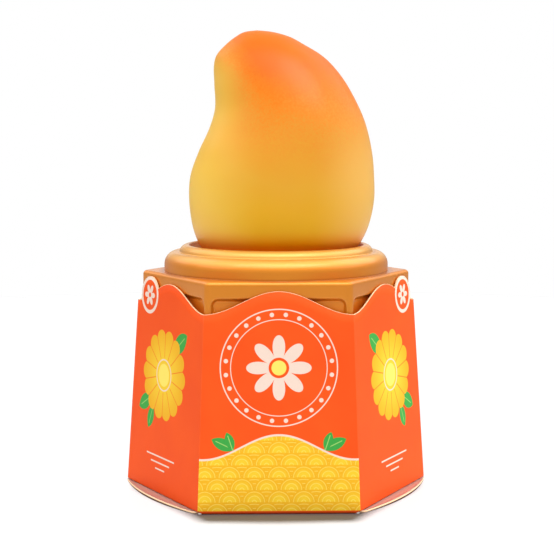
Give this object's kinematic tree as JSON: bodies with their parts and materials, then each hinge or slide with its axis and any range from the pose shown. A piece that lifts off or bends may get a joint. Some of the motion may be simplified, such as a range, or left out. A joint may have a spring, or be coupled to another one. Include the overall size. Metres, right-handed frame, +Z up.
{
  "type": "mango-shaped ice cream in a presentation carton",
  "caption": "Moulded mango-shaped ice cream standing upright in the round recess of a formed gold tray, held in an open hexagonal carton with a wavy rim and a base flap.",
  "frame": {"origin": "middle of the carton's base flap, on the surface it stands on", "axes": "+Z up; -Y out of the front wall, which carries the base flap's fold; the mango's beak leans towards -X"},
  "size_m": [0.0924, 0.08, 0.1378],
  "materials": {
    "mango_coating": "matt frozen surface, airbrushed from yellow at the base to orange at the crown",
    "gold_plastic": "satin metallised gold, vacuum formed",
    "printed_card": "satin printed coated card, pale cut edges and pale inside"
  },
  "bodies": {
    "root": {"mango": "mango_coating", "gold_tray": "gold_plastic", "carton": "printed_card"}
  },
  "joints": []
}
